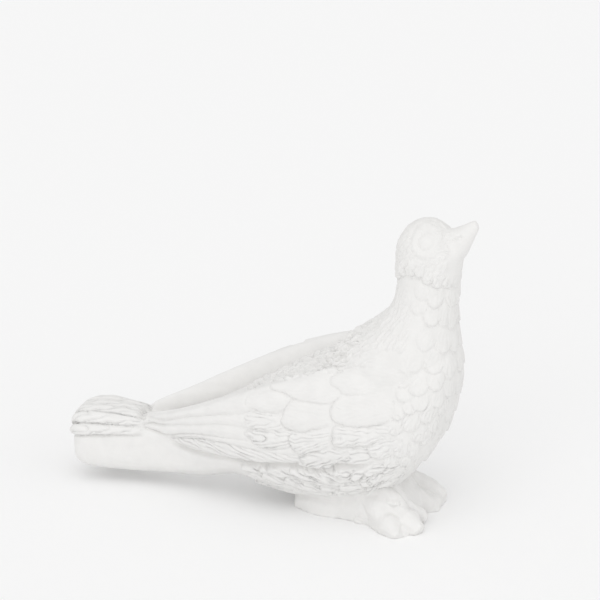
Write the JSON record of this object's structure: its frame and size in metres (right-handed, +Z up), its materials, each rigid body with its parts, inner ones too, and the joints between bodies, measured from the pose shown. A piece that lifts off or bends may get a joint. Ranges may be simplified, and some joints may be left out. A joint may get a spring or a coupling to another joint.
{
  "type": "dove statue",
  "caption": "Standing dove figure with folded wings and a fan tail, cast in one piece, resting on the flat underside of its feet.",
  "frame": {"origin": "on the ground, under the middle of the feet, in the plane that halves the body", "axes": "+X towards the beak, +Y to the bird's left, +Z up"},
  "size_m": [0.2133, 0.0698, 0.1594],
  "materials": {
    "white_cast_stone": "matt, off-white, faintly chalky"
  },
  "bodies": {
    "root": {"dove": "white_cast_stone"}
  },
  "joints": []
}
